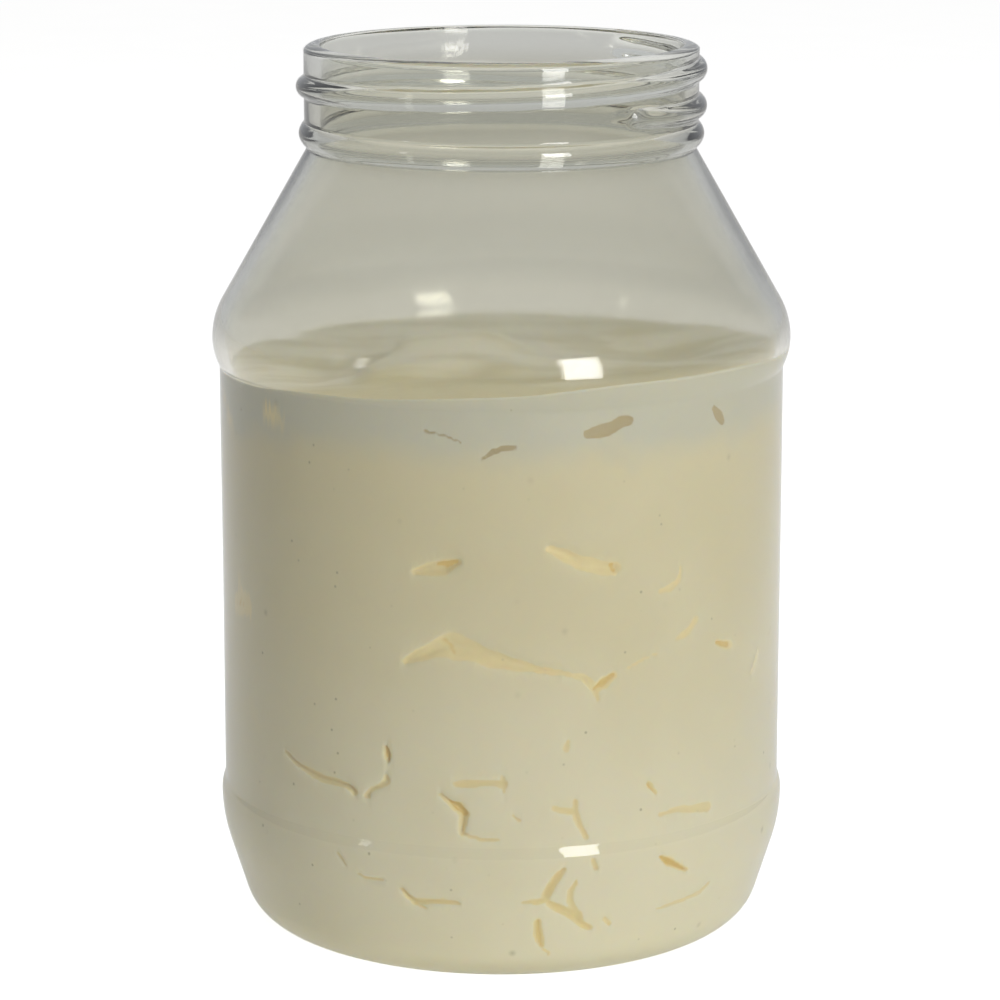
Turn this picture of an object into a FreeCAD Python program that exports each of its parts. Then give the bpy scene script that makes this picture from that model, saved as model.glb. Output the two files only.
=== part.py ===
"""Clear plastic mayonnaise jar, one wide-mouth screw-neck jar of about a gallon, with its filling.

Frame: +Z up, origin at the middle of the standing plane, millimetres.  The front of the jar
faces -Y.  Two solids: the blown jar and the mayonnaise that fills it to the shoulder.
"""
import FreeCAD, Part
import math
import os

from FreeCAD import Vector

# ---------------------------------------------------------------- driving dimensions, mm

# heights, stacked from the standing plane upwards
BASE_HEIGHT = 40.0            # standing plane to the lower edge of the label panel
PANEL_HEIGHT = 116.5          # straight label panel
SHOULDER_HEIGHT = 59.2        # top edge of the panel to the foot of the neck
NECK_HEIGHT = 28.0            # foot of the neck to the top of the lip

# body
PANEL_RADIUS = 77.5           # outside of the label panel
PANEL_WALL = 3.0              # wall behind the label panel
BASE_BEAD_PROUD = 1.0         # how far the base bead stands out past the panel
BASE_BEAD_RISE = 4.0          # from the widest ring of the base bead up to the panel
SHOULDER_BEAD_PROUD = 1.9     # how far the shoulder bead stands out past the panel
SHOULDER_BEAD_RISE = 7.5      # from the panel up to the widest ring of the shoulder bead
SHOULDER_ARC_RADIUS = 20.0    # rounding of the shoulder bead into the cone

# base
BASE_ARC_RADIUS = 42.0        # long rounding below the base bead
BASE_TAPER = 17.5             # lean of the base wall above the heel, degrees
HEEL_RADIUS = 12.5            # rounding from the base wall into the foot
FOOT_WIDTH = 8.0              # flat ring that the jar stands on
PUSH_UP = 6.0                 # rise of the dome under the jar

# neck and mouth
NECK_RADIUS = 53.7            # outside of the neck between the threads
NECK_WALL = 4.5
NECK_FOOT_RADIUS = 52.9       # where the shoulder cone meets the neck
NECK_BEAD_PROUD = 1.9         # bead below the thread
NECK_BEAD_HEIGHT = 7.0
LIP_DROP = 1.7                # fall of the rounded lip from its inner to its outer edge
LIP_INNER_ROUND = 0.6

# screw thread, one start, right-handed
THREAD_PITCH = 10.0
THREAD_PROUD = 2.25           # crest above the neck
THREAD_WIDTH = 6.0
THREAD_ROOT = 0.9             # how deep the thread's root is let into the neck
THREAD_TOP_GAP = 6.5          # lip to crest where the thread passes the right-hand side
THREAD_START = 55.0           # azimuth of the upper end, degrees from +X, seen from above
THREAD_SWEEP = 463.0          # angle that the thread winds down through, degrees
THREAD_FADE = 16.0            # angle over which each end sinks into the neck, degrees
THREAD_STEP = 15.0            # angle between two lofted sections, degrees
THREAD_RUNOUT = 52.0          # angle over which the lower end levels off, degrees
THREAD_RUNOUT_LIFT = 3.0      # how far its tip lies above the plain helix

# filling
FILL_LEVEL = 2.8              # mean edge of the mayonnaise above the top of the label panel
FILL_TILT_X = 2.2             # how much higher its edge lies on the right
FILL_TILT_Y = 1.9             # and at the front
FILL_TWIST = 1.8              # extra height in the right front quarter
FILL_RELIEF = 6.0             # height of the tallest lump on its top
FILL_GRID = 25                # points along each side of the top surface's grid
FILL_MARGIN = 6.0             # how far that grid reaches past the bore

# ---------------------------------------------------------------- places worked out from them

PANEL_BOTTOM_Z = BASE_HEIGHT
PANEL_TOP_Z = PANEL_BOTTOM_Z + PANEL_HEIGHT
NECK_FOOT_Z = PANEL_TOP_Z + SHOULDER_HEIGHT
LIP_Z = NECK_FOOT_Z + NECK_HEIGHT

BORE_RADIUS = PANEL_RADIUS - PANEL_WALL
NECK_BORE_RADIUS = NECK_RADIUS - NECK_WALL
BASE_BEAD_RADIUS = PANEL_RADIUS + BASE_BEAD_PROUD
BASE_BEAD_Z = PANEL_BOTTOM_Z - BASE_BEAD_RISE
SHOULDER_BEAD_RADIUS = PANEL_RADIUS + SHOULDER_BEAD_PROUD
SHOULDER_BEAD_Z = PANEL_TOP_Z + SHOULDER_BEAD_RISE
BASE_WALL = BASE_BEAD_RADIUS - BORE_RADIUS
SHOULDER_WALL = SHOULDER_BEAD_RADIUS - BORE_RADIUS
FILL_Z = PANEL_TOP_Z + FILL_LEVEL


def at(radius, height):
    """Point of the half section, in the XZ plane."""
    return Vector(radius, 0.0, height)


def polar(centre, radius, degrees):
    angle = math.radians(degrees)
    return at(centre.x + radius * math.cos(angle), centre.z + radius * math.sin(angle))


def line(a, b):
    return Part.LineSegment(a, b).toShape()


def arc(a, middle, b):
    return Part.Arc(a, middle, b).toShape()


def arc_about(centre, radius, start, end):
    """Arc about a centre, between two angles in degrees."""
    return arc(polar(centre, radius, start),
               polar(centre, radius, (start + end) / 2.0),
               polar(centre, radius, end))


# ---------------------------------------------------------------- half sections

BASE_ARC_CENTRE = at(BASE_BEAD_RADIUS - BASE_ARC_RADIUS, BASE_BEAD_Z)


def heel_centre():
    """Centre of the heel rounding, which touches the leaning base wall and the foot."""
    wall_top = polar(BASE_ARC_CENTRE, BASE_ARC_RADIUS, -BASE_TAPER)
    lean = math.radians(BASE_TAPER)
    wall_end_z = HEEL_RADIUS * (1.0 - math.sin(lean))
    wall_end_r = wall_top.x - (wall_top.z - wall_end_z) * math.tan(lean)
    return at(wall_end_r - HEEL_RADIUS * math.cos(lean), HEEL_RADIUS)


HEEL_CENTRE = heel_centre()
DOME_FOOT_RADIUS = HEEL_CENTRE.x - FOOT_WIDTH
DOME_RADIUS = (DOME_FOOT_RADIUS ** 2 + PUSH_UP ** 2) / (2.0 * PUSH_UP)
DOME_CENTRE = at(0.0, PUSH_UP - DOME_RADIUS)


def base_section(inset):
    """Edges from the axis under the jar to the widest ring of the base, moved in by inset."""
    dome_radius = DOME_RADIUS + inset
    dome_end = at(math.sqrt(dome_radius ** 2 - (inset - DOME_CENTRE.z) ** 2), inset)
    dome_top = at(0.0, DOME_CENTRE.z + dome_radius)
    dome_half = math.degrees(math.atan2(dome_end.z - DOME_CENTRE.z, dome_end.x))
    dome_mid = polar(DOME_CENTRE, dome_radius, (90.0 + dome_half) / 2.0)
    heel_radius = HEEL_RADIUS - inset
    wall_radius = BASE_ARC_RADIUS - inset
    return [
        arc(dome_top, dome_mid, dome_end),
        line(dome_end, at(HEEL_CENTRE.x, inset)),
        arc_about(HEEL_CENTRE, heel_radius, -90.0, -BASE_TAPER),
        line(polar(HEEL_CENTRE, heel_radius, -BASE_TAPER),
             polar(BASE_ARC_CENTRE, wall_radius, -BASE_TAPER)),
        arc_about(BASE_ARC_CENTRE, wall_radius, -BASE_TAPER, 0.0),
    ]


SHOULDER_CENTRE = at(SHOULDER_BEAD_RADIUS - SHOULDER_ARC_RADIUS, SHOULDER_BEAD_Z)
NECK_FOOT = at(NECK_FOOT_RADIUS, NECK_FOOT_Z)


def cone_angle():
    """Direction, in degrees, of the ring where the shoulder cone leaves the bead's rounding."""
    rise = NECK_FOOT.z - SHOULDER_CENTRE.z
    run = NECK_FOOT.x - SHOULDER_CENTRE.x
    reach = math.hypot(run, rise)
    return math.degrees(math.atan2(rise, run) - math.acos(SHOULDER_ARC_RADIUS / reach))


CONE_ANGLE = cone_angle()


def outer_edges():
    """Outside of the jar, from under the base up to the lip's outer edge."""
    edges = base_section(0.0)
    bead_ring = at(BASE_BEAD_RADIUS, BASE_BEAD_Z)
    panel_bottom = at(PANEL_RADIUS, PANEL_BOTTOM_Z)
    panel_top = at(PANEL_RADIUS, PANEL_TOP_Z)
    shoulder_ring = at(SHOULDER_BEAD_RADIUS, SHOULDER_BEAD_Z)
    edges.append(bead_arc(bead_ring, panel_bottom))
    edges.append(line(panel_bottom, panel_top))
    edges.append(bead_arc(shoulder_ring, panel_top))
    edges.append(arc_about(SHOULDER_CENTRE, SHOULDER_ARC_RADIUS, 0.0, CONE_ANGLE))
    edges.append(line(polar(SHOULDER_CENTRE, SHOULDER_ARC_RADIUS, CONE_ANGLE), NECK_FOOT))
    bead_top = at(NECK_RADIUS, NECK_FOOT_Z + NECK_BEAD_HEIGHT)
    bead_crest = at(NECK_RADIUS + NECK_BEAD_PROUD, NECK_FOOT_Z + NECK_BEAD_HEIGHT / 2.0)
    edges.append(arc(NECK_FOOT, bead_crest, bead_top))
    edges.append(line(bead_top, at(NECK_RADIUS, LIP_Z - LIP_DROP)))
    return edges


def bead_arc(ring, end):
    """Arc that is upright at the bead's widest ring and comes down to the panel's edge."""
    proud = ring.x - end.x
    rise = abs(end.z - ring.z)
    radius = (rise ** 2 + proud ** 2) / (2.0 * proud)
    turn = math.degrees(math.asin(rise / radius))
    centre = at(ring.x - radius, ring.z)
    return arc(ring, polar(centre, radius, math.copysign(turn / 2.0, end.z - ring.z)), end)


def lip_edges():
    """Rounded lip, highest near its inner edge, down to the top of the bore."""
    outer = at(NECK_RADIUS, LIP_Z - LIP_DROP)
    crest = at(NECK_BORE_RADIUS + LIP_INNER_ROUND, LIP_Z)
    width = outer.x - crest.x
    shoulder = at(crest.x + width * math.cos(math.radians(45.0)),
                  outer.z + LIP_DROP * math.sin(math.radians(45.0)))
    bore_top = at(NECK_BORE_RADIUS, LIP_Z - LIP_INNER_ROUND)
    round_centre = at(crest.x, bore_top.z)
    return [arc(outer, shoulder, crest),
            arc(crest, polar(round_centre, LIP_INNER_ROUND, 135.0), bore_top)]


def bore_edges():
    """Inside of the jar, from the axis on the floor up to the top of the bore."""
    edges = base_section(BASE_WALL)
    inner_radius = SHOULDER_ARC_RADIUS - SHOULDER_WALL
    cone_start = polar(SHOULDER_CENTRE, inner_radius, CONE_ANGLE)
    lean = math.radians(CONE_ANGLE)
    cone_end_z = cone_start.z + (cone_start.x - NECK_BORE_RADIUS) / math.tan(lean)
    edges.append(line(at(BORE_RADIUS, BASE_BEAD_Z), at(BORE_RADIUS, SHOULDER_BEAD_Z)))
    edges.append(arc_about(SHOULDER_CENTRE, inner_radius, 0.0, CONE_ANGLE))
    edges.append(line(cone_start, at(NECK_BORE_RADIUS, cone_end_z)))
    edges.append(line(at(NECK_BORE_RADIUS, cone_end_z),
                      at(NECK_BORE_RADIUS, LIP_Z - LIP_INNER_ROUND)))
    return edges


def revolve(edges):
    """Solid of revolution about Z of a closed half section."""
    wire = Part.Wire(Part.__sortEdges__(edges))
    return Part.Face(wire).revolve(Vector(0, 0, 0), Vector(0, 0, 1), 360.0)


# ---------------------------------------------------------------- thread

THREAD_SIDE_Z = LIP_Z - THREAD_TOP_GAP      # crest height where the thread passes +X


def thread_height(travelled):
    """Height of the crest after an angle travelled down from the upper end."""
    helix = THREAD_SIDE_Z + THREAD_PITCH * (THREAD_START - travelled) / 360.0
    into_runout = max(0.0, travelled - THREAD_SWEEP + THREAD_RUNOUT) / THREAD_RUNOUT
    return helix + THREAD_RUNOUT_LIFT * into_runout ** 2


def thread_section(travelled):
    """D-shaped section of the thread, which sinks into the neck near either end."""
    to_end = min(travelled, THREAD_SWEEP - travelled)
    share = math.sin(math.radians(90.0 * min(1.0, to_end / THREAD_FADE)))
    root = NECK_RADIUS - THREAD_ROOT
    sunk_crest = NECK_RADIUS - 0.75 * THREAD_ROOT
    crest = sunk_crest + share * (NECK_RADIUS + THREAD_PROUD - sunk_crest)
    height = thread_height(travelled)
    turn = math.radians(THREAD_START - travelled)

    def place(radius, rise):
        return Vector(radius * math.cos(turn), radius * math.sin(turn), height + rise)

    lower = place(root, -THREAD_WIDTH / 2.0)
    upper = place(root, THREAD_WIDTH / 2.0)
    return Part.Wire([Part.Arc(lower, place(crest, 0.0), upper).toShape(), line(upper, lower)])


def thread():
    """One right-handed ridge, lofted through its sections from the upper to the lower end."""
    count = int(math.ceil(THREAD_SWEEP / THREAD_STEP))
    sections = [thread_section(THREAD_SWEEP * number / count) for number in range(count + 1)]
    return Part.makeLoft(sections, True, False)


# ---------------------------------------------------------------- the two solids

def make_jar():
    shell = outer_edges() + lip_edges() + bore_edges()
    floor_gap = line(at(0.0, PUSH_UP), at(0.0, PUSH_UP + BASE_WALL))
    body = revolve(shell + [floor_gap])
    return body.fuse(thread()).removeSplitter()


def bump(u, v, centre_u, centre_v, spread_u, spread_v):
    """Smooth hill of height one, in shares of the bore's radius."""
    return math.exp(-((u - centre_u) / spread_u) ** 2 - ((v - centre_v) / spread_v) ** 2)


def fill_height(x, y):
    """Height of the scooped top of the mayonnaise over a point of the bore."""
    u = x / BORE_RADIUS
    v = y / BORE_RADIUS
    rim = FILL_TILT_X * u - FILL_TILT_Y * v - FILL_TWIST * u * v
    away_from_wall = 1.0 - min(1.0, math.hypot(u, v)) ** 4
    relief = FILL_RELIEF * (
        1.00 * bump(u, v, -0.22, -0.12, 0.30, 0.24)      # spooned lump left of the middle
        + 0.42 * bump(u, v, 0.38, -0.30, 0.26, 0.22)     # its lower neighbour on the right
        - 0.75 * bump(u, v, 0.55, 0.20, 0.30, 0.40)      # hollow that the spoon left
        - 0.60 * bump(u, v, -0.62, -0.30, 0.20, 0.34)    # dip between lump and wall
        - 0.35 * bump(u, v, -0.10, 0.60, 0.50, 0.25)
        + 0.08 * math.sin(7.0 * u + 1.3) * math.cos(6.0 * v - 0.4))
    return FILL_Z + rim + away_from_wall * relief


def fill_top():
    """Top surface of the mayonnaise, through a square grid of heights."""
    reach = BORE_RADIUS + FILL_MARGIN
    rows = []
    for j in range(FILL_GRID):
        y = reach * (2.0 * j / (FILL_GRID - 1) - 1.0)
        row = []
        for i in range(FILL_GRID):
            x = reach * (2.0 * i / (FILL_GRID - 1) - 1.0)
            row.append(Vector(x, y, fill_height(x, y)))
        rows.append(row)
    surface = Part.BSplineSurface()
    surface.interpolate(rows)
    return surface.toShape()


def make_mayonnaise():
    """The filling: the whole inside of the jar, up to its uneven top."""
    edges = bore_edges()
    mouth = at(NECK_BORE_RADIUS, LIP_Z - LIP_INNER_ROUND)
    edges.append(line(mouth, at(0.0, mouth.z)))
    edges.append(line(at(0.0, mouth.z), at(0.0, PUSH_UP + BASE_WALL)))
    inside = revolve(edges)
    below_top = fill_top().extrude(Vector(0.0, 0.0, -2.0 * LIP_Z))
    return inside.common(below_top)


def one_solid(shape, name):
    solids = shape.Solids
    if len(solids) != 1 or not solids[0].isValid():
        raise ValueError(name + " is not one valid solid")
    return solids[0]


os.makedirs("parts", exist_ok=True)
for node, shape in (("jar", make_jar()), ("mayonnaise", make_mayonnaise())):
    solid = one_solid(shape, node)
    solid.exportStep("parts/" + node + ".step")
    print("%-12s volume %.1f ml, %d faces" % (node, solid.Volume / 1000.0, len(solid.Faces)))
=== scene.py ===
"""Looks of an open jar of mayonnaise: a clear blown jar with a screw neck, and its thick filling.

Sizes are in millimetres and turned into metres where a mesh is made.  The jar stands on the
floor at the origin and its front faces -Y.
"""

import math

import bmesh
import bpy
import numpy as np
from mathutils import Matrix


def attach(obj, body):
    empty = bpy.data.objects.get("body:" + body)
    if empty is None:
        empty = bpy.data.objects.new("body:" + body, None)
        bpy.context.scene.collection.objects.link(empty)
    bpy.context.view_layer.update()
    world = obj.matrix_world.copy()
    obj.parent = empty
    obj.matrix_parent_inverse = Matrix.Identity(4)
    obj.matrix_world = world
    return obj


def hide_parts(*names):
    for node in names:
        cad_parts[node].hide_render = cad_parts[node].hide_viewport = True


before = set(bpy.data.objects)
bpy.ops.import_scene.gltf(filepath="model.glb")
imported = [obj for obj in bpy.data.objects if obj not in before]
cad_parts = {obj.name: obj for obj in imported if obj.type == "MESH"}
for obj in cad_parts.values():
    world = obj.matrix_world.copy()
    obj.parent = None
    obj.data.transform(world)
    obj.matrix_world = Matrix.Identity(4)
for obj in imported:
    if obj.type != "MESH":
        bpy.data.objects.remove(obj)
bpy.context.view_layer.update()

MM = 0.001

# ---------------------------------------------------------------- sizes of the jar, mm

BASE_HEIGHT = 40.0
PANEL_HEIGHT = 116.5
SHOULDER_HEIGHT = 59.2
NECK_HEIGHT = 28.0

PANEL_RADIUS = 77.5
PANEL_WALL = 3.0
BASE_BEAD_PROUD = 1.0
BASE_BEAD_RISE = 4.0
SHOULDER_BEAD_PROUD = 1.9
SHOULDER_BEAD_RISE = 7.5
SHOULDER_ARC_RADIUS = 20.0

BASE_ARC_RADIUS = 42.0
BASE_TAPER = 17.5
HEEL_RADIUS = 12.5
FOOT_WIDTH = 8.0
PUSH_UP = 6.0

NECK_RADIUS = 53.7
NECK_WALL = 4.5
NECK_FOOT_RADIUS = 52.9
NECK_BEAD_PROUD = 1.9
NECK_BEAD_HEIGHT = 7.0
LIP_DROP = 1.7
LIP_INNER_ROUND = 0.6

THREAD_PITCH = 10.0
THREAD_PROUD = 2.25
THREAD_HALF_WIDTH = 3.0
THREAD_ROOT = 0.9
THREAD_TOP_GAP = 6.5
THREAD_START = 55.0
THREAD_SWEEP = 468.8
THREAD_FADE = 9.0
THREAD_TAIL = 17.0            # low ridge past the lower end, degrees
THREAD_TAIL_SHARE = 0.36      # and its height against the root's depth
THREAD_FILLET = 0.5
THREAD_RUNOUT = 52.0
THREAD_RUNOUT_LIFT = 3.0

FILL_LEVEL = 2.8
FILL_TILT_X = 2.2
FILL_TILT_Y = 1.9
FILL_TWIST = 1.8
FILL_RELIEF = 6.0
FILL_BACK_DROP = 1.3          # extra fall of the edge at the back
FILL_EDGE_REACH = 50.0        # how far below its level the rows of its side follow the edge

# ---------------------------------------------------------------- places worked out from them

PANEL_BOTTOM_Z = BASE_HEIGHT
PANEL_TOP_Z = PANEL_BOTTOM_Z + PANEL_HEIGHT
NECK_FOOT_Z = PANEL_TOP_Z + SHOULDER_HEIGHT
LIP_Z = NECK_FOOT_Z + NECK_HEIGHT
THREAD_SIDE_Z = LIP_Z - THREAD_TOP_GAP

BORE_RADIUS = PANEL_RADIUS - PANEL_WALL
NECK_BORE_RADIUS = NECK_RADIUS - NECK_WALL
BASE_BEAD_RADIUS = PANEL_RADIUS + BASE_BEAD_PROUD
BASE_BEAD_Z = PANEL_BOTTOM_Z - BASE_BEAD_RISE
SHOULDER_BEAD_RADIUS = PANEL_RADIUS + SHOULDER_BEAD_PROUD
SHOULDER_BEAD_Z = PANEL_TOP_Z + SHOULDER_BEAD_RISE
BASE_WALL = BASE_BEAD_RADIUS - BORE_RADIUS
SHOULDER_WALL = 3.4           # the blown wall follows the bead
INNER_BEAD_RADIUS = SHOULDER_BEAD_RADIUS - SHOULDER_WALL
INNER_BEAD_FOOT_Z = PANEL_TOP_Z + 0.8
FILL_Z = PANEL_TOP_Z + FILL_LEVEL

# ---------------------------------------------------------------- how finely things are made

JAR_COLUMNS = 300
OUTLINE_STEP = 2.6            # between two rows of the jar on its plain stretches
THREAD_ROW_STEP = 0.5         # and on the neck
EDGE_ROUNDING = 0.35          # half width of the rounding on the edges of beads
ARC_STEP = 0.8                # on the arcs of beads

FILL_COLUMNS = 760
FILL_ROW_STEP = 0.66
FILL_TOP_RINGS = 70
FILL_TRIANGLES = 190000
INTO_WALL = 0.2               # how far the filling reaches into the wall

INNER_WAVE = 0.10             # blown unevenness of the wall, inside over the filling
OUTER_WAVE = 0.035            # and outside
SKIN_TOLERANCE = 0.2          # what still counts as the neck's own skin
NECK_SKIN_DEPTH = 16.3        # the thread is raised from the neck this far below its side


# ---------------------------------------------------------------- half sections

def straight(a, b, step, rounding=0.0):
    """Points from a to b, with an extra one close to either end where the edge is rounded."""
    length = math.dist(a, b)
    count = max(1, int(math.ceil(length / step)))
    shares = [i / count for i in range(count + 1)]
    if 0.0 < rounding < length / 4.0:
        shares = sorted(set(shares + [rounding / length, 1.0 - rounding / length]))
    return [(a[0] + (b[0] - a[0]) * s, a[1] + (b[1] - a[1]) * s) for s in shares]


def bend(centre, radius, start, end, step):
    """Points on an arc between two angles in degrees."""
    count = max(2, int(math.ceil(abs(math.radians(end - start)) * radius / step)))
    turns = [math.radians(start + (end - start) * i / count) for i in range(count + 1)]
    return [(centre[0] + radius * math.cos(t), centre[1] + radius * math.sin(t)) for t in turns]


def joined(*stretches):
    """One run of points, without the doubles where two stretches meet."""
    points = []
    for stretch in stretches:
        for point in stretch:
            if not points or math.dist(points[-1], point) > 0.02:
                points.append(point)
    return points


BASE_ARC_CENTRE = (BASE_BEAD_RADIUS - BASE_ARC_RADIUS, BASE_BEAD_Z)
TAPER = math.radians(BASE_TAPER)
WALL_TOP = (BASE_ARC_CENTRE[0] + BASE_ARC_RADIUS * math.cos(TAPER),
            BASE_ARC_CENTRE[1] - BASE_ARC_RADIUS * math.sin(TAPER))
WALL_END_Z = HEEL_RADIUS * (1.0 - math.sin(TAPER))
WALL_END_RADIUS = WALL_TOP[0] - (WALL_TOP[1] - WALL_END_Z) * math.tan(TAPER)
HEEL_CENTRE = (WALL_END_RADIUS - HEEL_RADIUS * math.cos(TAPER), HEEL_RADIUS)
DOME_FOOT_RADIUS = HEEL_CENTRE[0] - FOOT_WIDTH
DOME_RADIUS = (DOME_FOOT_RADIUS ** 2 + PUSH_UP ** 2) / (2.0 * PUSH_UP)
DOME_Z = PUSH_UP - DOME_RADIUS
SHOULDER_CENTRE = (SHOULDER_BEAD_RADIUS - SHOULDER_ARC_RADIUS, SHOULDER_BEAD_Z)


def cone_angle():
    """Direction, in degrees, of the ring where the shoulder cone leaves the bead's rounding."""
    rise = NECK_FOOT_Z - SHOULDER_CENTRE[1]
    run = NECK_FOOT_RADIUS - SHOULDER_CENTRE[0]
    reach = math.hypot(run, rise)
    return math.degrees(math.atan2(rise, run) - math.acos(SHOULDER_ARC_RADIUS / reach))


CONE_ANGLE = cone_angle()


def base_run(inset, step):
    """From the axis under the jar out and up to the widest ring of the base."""
    dome_radius = DOME_RADIUS + inset
    dome_end = math.degrees(math.asin((inset - DOME_Z) / dome_radius))
    dome = bend((0.0, DOME_Z), dome_radius, 90.0, dome_end, step)
    foot_z = inset
    heel = bend(HEEL_CENTRE, HEEL_RADIUS - inset, -90.0, -BASE_TAPER, min(step, 1.5))
    wall = bend(BASE_ARC_CENTRE, BASE_ARC_RADIUS - inset, -BASE_TAPER, 0.0, step)
    return joined(dome,
                  straight(dome[-1], (HEEL_CENTRE[0], foot_z), step, EDGE_ROUNDING),
                  heel,
                  straight(heel[-1], wall[0], step),
                  wall)


def bead_run(ring, end, step):
    """Arc that is upright at the bead's widest ring and comes down to the panel's edge."""
    proud = ring[0] - end[0]
    rise = end[1] - ring[1]
    radius = (rise ** 2 + proud ** 2) / (2.0 * proud)
    turn = math.degrees(math.asin(abs(rise) / radius))
    return bend((ring[0] - radius, ring[1]), radius, 0.0, math.copysign(turn, rise), step)


def outer_run():
    """Outside of the jar, from under the base up to the lip's outer edge."""
    step = OUTLINE_STEP
    base_bead = bead_run((BASE_BEAD_RADIUS, BASE_BEAD_Z), (PANEL_RADIUS, PANEL_BOTTOM_Z), 0.6)
    low_bead = bead_run((SHOULDER_BEAD_RADIUS, SHOULDER_BEAD_Z), (PANEL_RADIUS, PANEL_TOP_Z),
                        ARC_STEP)
    shoulder = bend(SHOULDER_CENTRE, SHOULDER_ARC_RADIUS, 0.0, CONE_ANGLE, 0.9)
    neck_foot = (NECK_FOOT_RADIUS, NECK_FOOT_Z)
    bead_top = (NECK_RADIUS, NECK_FOOT_Z + NECK_BEAD_HEIGHT)
    return joined(base_run(0.0, step),
                  base_bead,
                  straight(base_bead[-1], low_bead[-1], 2.0 * step, EDGE_ROUNDING),
                  low_bead[::-1],
                  shoulder,
                  straight(shoulder[-1], neck_foot, step, EDGE_ROUNDING),
                  neck_bead_run(neck_foot, bead_top),
                  straight(bead_top, (NECK_RADIUS, LIP_Z - LIP_DROP), THREAD_ROW_STEP))


def neck_bead_run(foot, top):
    """Bulge below the thread, which runs out softly into the neck at either end."""
    count = int(math.ceil(NECK_BEAD_HEIGHT / THREAD_ROW_STEP))
    points = []
    for i in range(count + 1):
        share = i / count
        bulge = math.sin(math.pi * share) ** 0.85 * NECK_BEAD_PROUD
        points.append((foot[0] + (top[0] - foot[0]) * share + bulge,
                       foot[1] + (top[1] - foot[1]) * share))
    return points


def lip_run():
    """Rounded lip, highest near its inner edge."""
    crest = NECK_BORE_RADIUS + LIP_INNER_ROUND
    width = NECK_RADIUS - crest
    outer = [(crest + width * math.cos(math.radians(t)),
              LIP_Z - LIP_DROP + LIP_DROP * math.sin(math.radians(t))) for t in range(0, 91, 9)]
    inner = bend((crest, LIP_Z - LIP_INNER_ROUND), LIP_INNER_ROUND, 90.0, 180.0, 0.16)
    return joined(outer, inner)


def inner_run():
    """Inside of the jar, from the top of the bore down to the axis on the floor."""
    step = OUTLINE_STEP
    radius = SHOULDER_ARC_RADIUS - SHOULDER_WALL
    shoulder = bend(SHOULDER_CENTRE, radius, 0.0, CONE_ANGLE, 1.2)
    lean = math.radians(CONE_ANGLE)
    cone_end_z = shoulder[-1][1] + (shoulder[-1][0] - NECK_BORE_RADIUS) / math.tan(lean)
    bead = bead_run((INNER_BEAD_RADIUS, SHOULDER_BEAD_Z), (BORE_RADIUS, INNER_BEAD_FOOT_Z), ARC_STEP)
    upward = joined(base_run(BASE_WALL, step),
                    straight((BORE_RADIUS, BASE_BEAD_Z), (BORE_RADIUS, INNER_BEAD_FOOT_Z), 2.0 * step),
                    bead[::-1],
                    shoulder,
                    straight(shoulder[-1], (NECK_BORE_RADIUS, cone_end_z), step, 1.5),
                    straight((NECK_BORE_RADIUS, cone_end_z),
                             (NECK_BORE_RADIUS, LIP_Z - LIP_INNER_ROUND), 1.6, 0.5))
    return upward[::-1]


# ---------------------------------------------------------------- meshes

def smooth_ramp(value, low, high):
    """From 0 at the low value to 1 at the high one, with soft ends."""
    share = np.clip((value - low) / (high - low), 0.0, 1.0)
    return share * share * (3.0 - 2.0 * share)


def waves(azimuth, height, seed, count=9, around=5, along=60.0):
    """Slow unevenness around and along a wall, between about -1 and 1."""
    rng = np.random.default_rng(seed)
    total = np.zeros(np.broadcast(azimuth, height).shape)
    for _ in range(count):
        turns = rng.integers(0, around + 1)
        pitch = rng.uniform(1.0, 2.5) * along * rng.choice([-1.0, 1.0])
        phase = rng.uniform(0.0, 2.0 * math.pi)
        total = total + np.sin(turns * azimuth + 2.0 * math.pi * height / pitch + phase)
    return total / math.sqrt(count)


def new_object(name, mesh, smooth=True):
    """Puts a mesh into the scene as an object at the origin."""
    piece = bpy.data.objects.new(name, mesh)
    bpy.context.scene.collection.objects.link(piece)
    if smooth:
        mesh.shade_smooth()
    return piece


def lathe_mesh(name, radius, height, azimuth, open_ends=(False, False)):
    """Mesh over rows of points (rows x columns); its first and last row may close to a pole."""
    rows, columns = radius.shape
    x = radius * np.cos(azimuth)
    y = radius * np.sin(azimuth)
    points = np.stack([x, y, height], axis=-1).reshape(-1, 3) * MM
    start = np.arange(rows - 1)[:, None] * columns
    column = np.arange(columns)[None, :]
    after = (column + 1) % columns
    quads = np.stack([start + column, start + after,
                      start + columns + after, start + columns + column], axis=-1).reshape(-1, 4)
    faces = [tuple(q) for q in quads.tolist()]
    points = points.tolist()
    for row, is_open in ((0, open_ends[0]), (rows - 1, open_ends[1])):
        if is_open:
            continue
        pole = len(points)
        points.append([0.0, 0.0, float(np.mean(height[row])) * MM])
        ring = [row * columns + i for i in range(columns)]
        faces += [(ring[i], pole, ring[(i + 1) % columns]) for i in range(columns)]
    mesh = bpy.data.meshes.new(name)
    mesh.from_pydata(points, [], faces)
    face_outwards(mesh)
    return mesh


def face_outwards(mesh):
    """Turns all faces of a closed mesh outwards."""
    work = bmesh.new()
    work.from_mesh(mesh)
    bmesh.ops.recalc_face_normals(work, faces=work.faces)
    work.to_mesh(mesh)
    work.free()
    mesh.update()


# ---------------------------------------------------------------- the jar

def jar_rows():
    """Closed half section without its two points on the axis, and how many rows are outside."""
    outside = outer_run()[1:]
    lip = lip_run()
    inside = inner_run()[:-1]
    return joined(outside, lip, inside), len(outside)


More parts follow.
